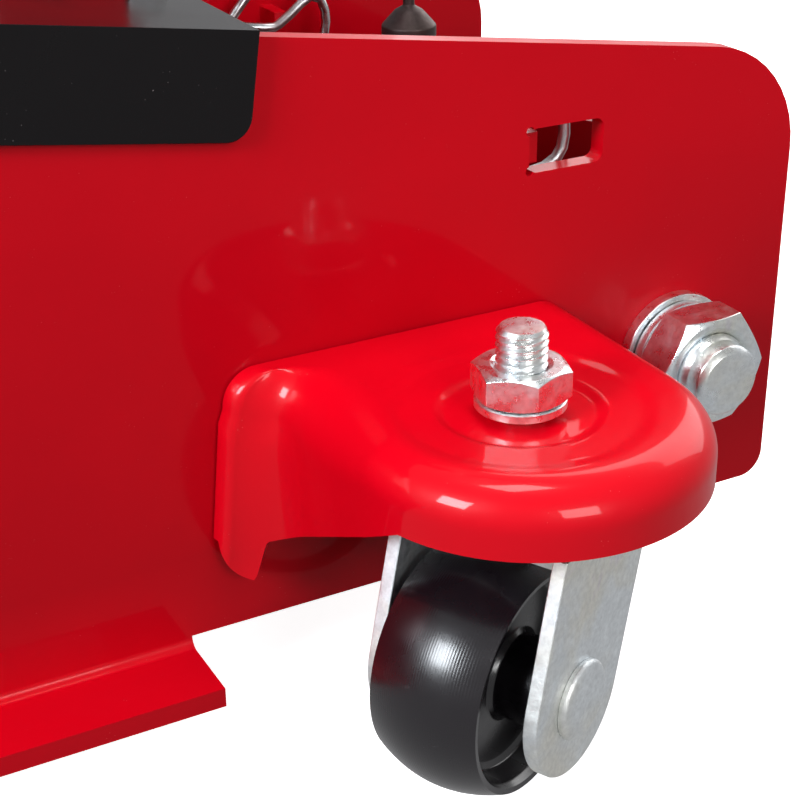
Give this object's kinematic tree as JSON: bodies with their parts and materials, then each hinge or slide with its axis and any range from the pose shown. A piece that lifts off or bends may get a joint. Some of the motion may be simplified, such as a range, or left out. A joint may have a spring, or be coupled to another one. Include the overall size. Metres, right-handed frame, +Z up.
{
  "type": "hydraulic trolley jack",
  "caption": "Low steel trolley on rollers and swivel casters whose hydraulic ram, pumped by a long handle, raises a level saddle on a lift arm.",
  "frame": {"origin": "on the floor, under the middle of the bounding box in X and on the centre plane in Y", "axes": "+X towards the saddle and front wheels, +Y to the left side, +Z up"},
  "size_m": [0.9918, 0.2972, 1.1429],
  "materials": {
    "red_paint": "glossy",
    "black_paint": "satin",
    "black_plastic": "semi-gloss",
    "zinc": "bright zinc plate",
    "plain_steel": "machined",
    "ground_steel": "ground",
    "spring_wire": "drawn wire"
  },
  "bodies": {
    "frame": {"side_plate_left": "red_paint", "side_plate_right": "red_paint", "caster_bracket_left": "red_paint", "caster_bracket_right": "red_paint", "top_cover": "black_paint", "cover_screws": "zinc", "cross_members": "red_paint", "front_axle": "plain_steel", "axle_washers": "zinc", "axle_nuts": "zinc", "arm_shaft": "plain_steel", "arm_shaft_nuts": "zinc", "rod_anchor_pins": "plain_steel", "power_unit_block": "red_paint", "trunnion_studs": "zinc", "trunnion_washers": "zinc", "trunnion_spring_washers": "zinc", "trunnion_nuts": "zinc", "reservoir_tube": "red_paint", "ram_cylinder": "plain_steel", "gland_nut": "plain_steel", "oil_filler_plug": "zinc", "socket_pivot_bolts": "zinc", "caster_stems": "zinc", "caster_nuts": "zinc", "caster_spring_washers": "zinc"},
    "release_valve": {"release_valve_spindle": "plain_steel"},
    "plunger": {"pump_plunger": "ground_steel", "plunger_spring": "spring_wire"},
    "ram": {"ram_rod": "ground_steel", "ram_head": "plain_steel"},
    "lift_arm": {"arm_plate_left": "red_paint", "arm_plate_right": "red_paint", "arm_hub_tube": "red_paint", "arm_cross_tube": "red_paint", "lever_plates": "red_paint", "lever_pin": "plain_steel", "saddle_pivot_pins": "plain_steel", "return_spring_left": "spring_wire", "return_spring_right": "spring_wire"},
    "levelling_rods": {"connecting_rod_left": "black_paint", "connecting_rod_right": "black_paint"},
    "saddle_mount": {"saddle_bracket": "red_paint", "levelling_shaft": "plain_steel"},
    "saddle": {"saddle": "black_paint"},
    "front_wheel_left": {"front_wheel_left": "black_plastic"},
    "front_wheel_right": {"front_wheel_right": "black_plastic"},
    "caster_left": {"caster_fork_left": "zinc", "caster_axle_left": "plain_steel"},
    "caster_right": {"caster_fork_right": "zinc", "caster_axle_right": "plain_steel"},
    "caster_wheel_left": {"caster_wheel_left": "black_plastic"},
    "caster_wheel_right": {"caster_wheel_right": "black_plastic"},
    "socket": {"handle_socket": "red_paint", "roller_pin": "plain_steel"},
    "pump_roller": {"pump_roller": "plain_steel"},
    "release_sleeve": {"release_sleeve": "plain_steel", "clamp_screw": "zinc"},
    "handle": {"handle_lower": "black_paint", "handle_upper": "black_paint"}
  },
  "joints": [
    {"name": "arm_lift", "type": "hinge", "parent": "frame", "child": "lift_arm", "pos_m": [0.12592, 0, 0.107], "axis": [0, -1, 0], "range_deg": [0, 56], "deforming": ["return_spring_left", "return_spring_right"]},
    {"name": "ram_slide", "type": "slide", "parent": "frame", "child": "ram", "axis": [1, 0, 0], "range_m": [0, 0.04705]},
    {"name": "rod_hinge", "type": "hinge", "parent": "frame", "child": "levelling_rods", "pos_m": [0.14092, 0, 0.08102], "axis": [0, -1, 0], "range_deg": [0, 56]},
    {"name": "saddle_level", "type": "hinge", "parent": "lift_arm", "child": "saddle_mount", "pos_m": [0.44572, 0, 0.09583], "axis": [0, -1, 0], "range_deg": [-56, 0]},
    {"name": "saddle_swivel", "type": "hinge", "parent": "saddle_mount", "child": "saddle", "pos_m": [0.44572, 0, 0.1153], "axis": [0, 0, 1], "continuous": true},
    {"name": "socket_pump", "type": "hinge", "parent": "frame", "child": "socket", "pos_m": [-0.01608, 0, 0.139], "axis": [0, -1, 0], "range_deg": [0, 44], "stiffness_Nm_per_rad": 40, "springref_deg": -20.05},
    {"name": "plunger_stroke", "type": "slide", "parent": "frame", "child": "plunger", "axis": [0, 0, -1], "range_m": [0, 0.01958], "deforming": ["plunger_spring"]},
    {"name": "roller_spin", "type": "hinge", "parent": "socket", "child": "pump_roller", "pos_m": [-0.04019, 0, 0.14874], "axis": [0, 1, 0], "continuous": true},
    {"name": "sleeve_twist", "type": "hinge", "parent": "socket", "child": "release_sleeve", "pos_m": [-0.01608, 0, 0.139], "axis": [-0.4226, 0, 0.9063], "range_deg": [0, 90]},
    {"name": "valve_turn", "type": "hinge", "parent": "frame", "child": "release_valve", "pos_m": [-0.01608, 0, 0.139], "axis": [0, 0, 1], "range_deg": [0, 90]},
    {"name": "handle_slide", "type": "slide", "parent": "release_sleeve", "child": "handle", "axis": [-0.4226, 0, 0.9063], "range_m": [0, 0.09]},
    {"name": "front_roll_left", "type": "hinge", "parent": "frame", "child": "front_wheel_left", "pos_m": [0.45392, 0.0903, 0.042], "axis": [0, 1, 0], "continuous": true},
    {"name": "front_roll_right", "type": "hinge", "parent": "frame", "child": "front_wheel_right", "pos_m": [0.45392, -0.0903, 0.042], "axis": [0, 1, 0], "continuous": true},
    {"name": "swivel_left", "type": "hinge", "parent": "frame", "child": "caster_left", "pos_m": [-0.07678, 0.1126, 0.078], "axis": [0, 0, 1], "continuous": true},
    {"name": "swivel_right", "type": "hinge", "parent": "frame", "child": "caster_right", "pos_m": [-0.07678, -0.1126, 0.078], "axis": [0, 0, 1], "continuous": true},
    {"name": "caster_roll_left", "type": "hinge", "parent": "caster_left", "child": "caster_wheel_left", "pos_m": [-0.06699, 0.11761, 0.0256], "axis": [-0.4555, 0.8902, 0], "continuous": true},
    {"name": "caster_roll_right", "type": "hinge", "parent": "caster_right", "child": "caster_wheel_right", "pos_m": [-0.0865, -0.10744, 0.0256], "axis": [-0.4695, -0.8829, 0], "continuous": true}
  ],
  "couplings": [
    {"joint": "ram_slide", "follows": "arm_lift", "m_per_rad": 0.048033},
    {"joint": "rod_hinge", "follows": "arm_lift", "ratio": 1},
    {"joint": "saddle_level", "follows": "arm_lift", "ratio": -1},
    {"joint": "plunger_stroke", "follows": "socket_pump", "m_per_rad": 0.025366},
    {"joint": "valve_turn", "follows": "sleeve_twist", "ratio": 1}
  ]
}
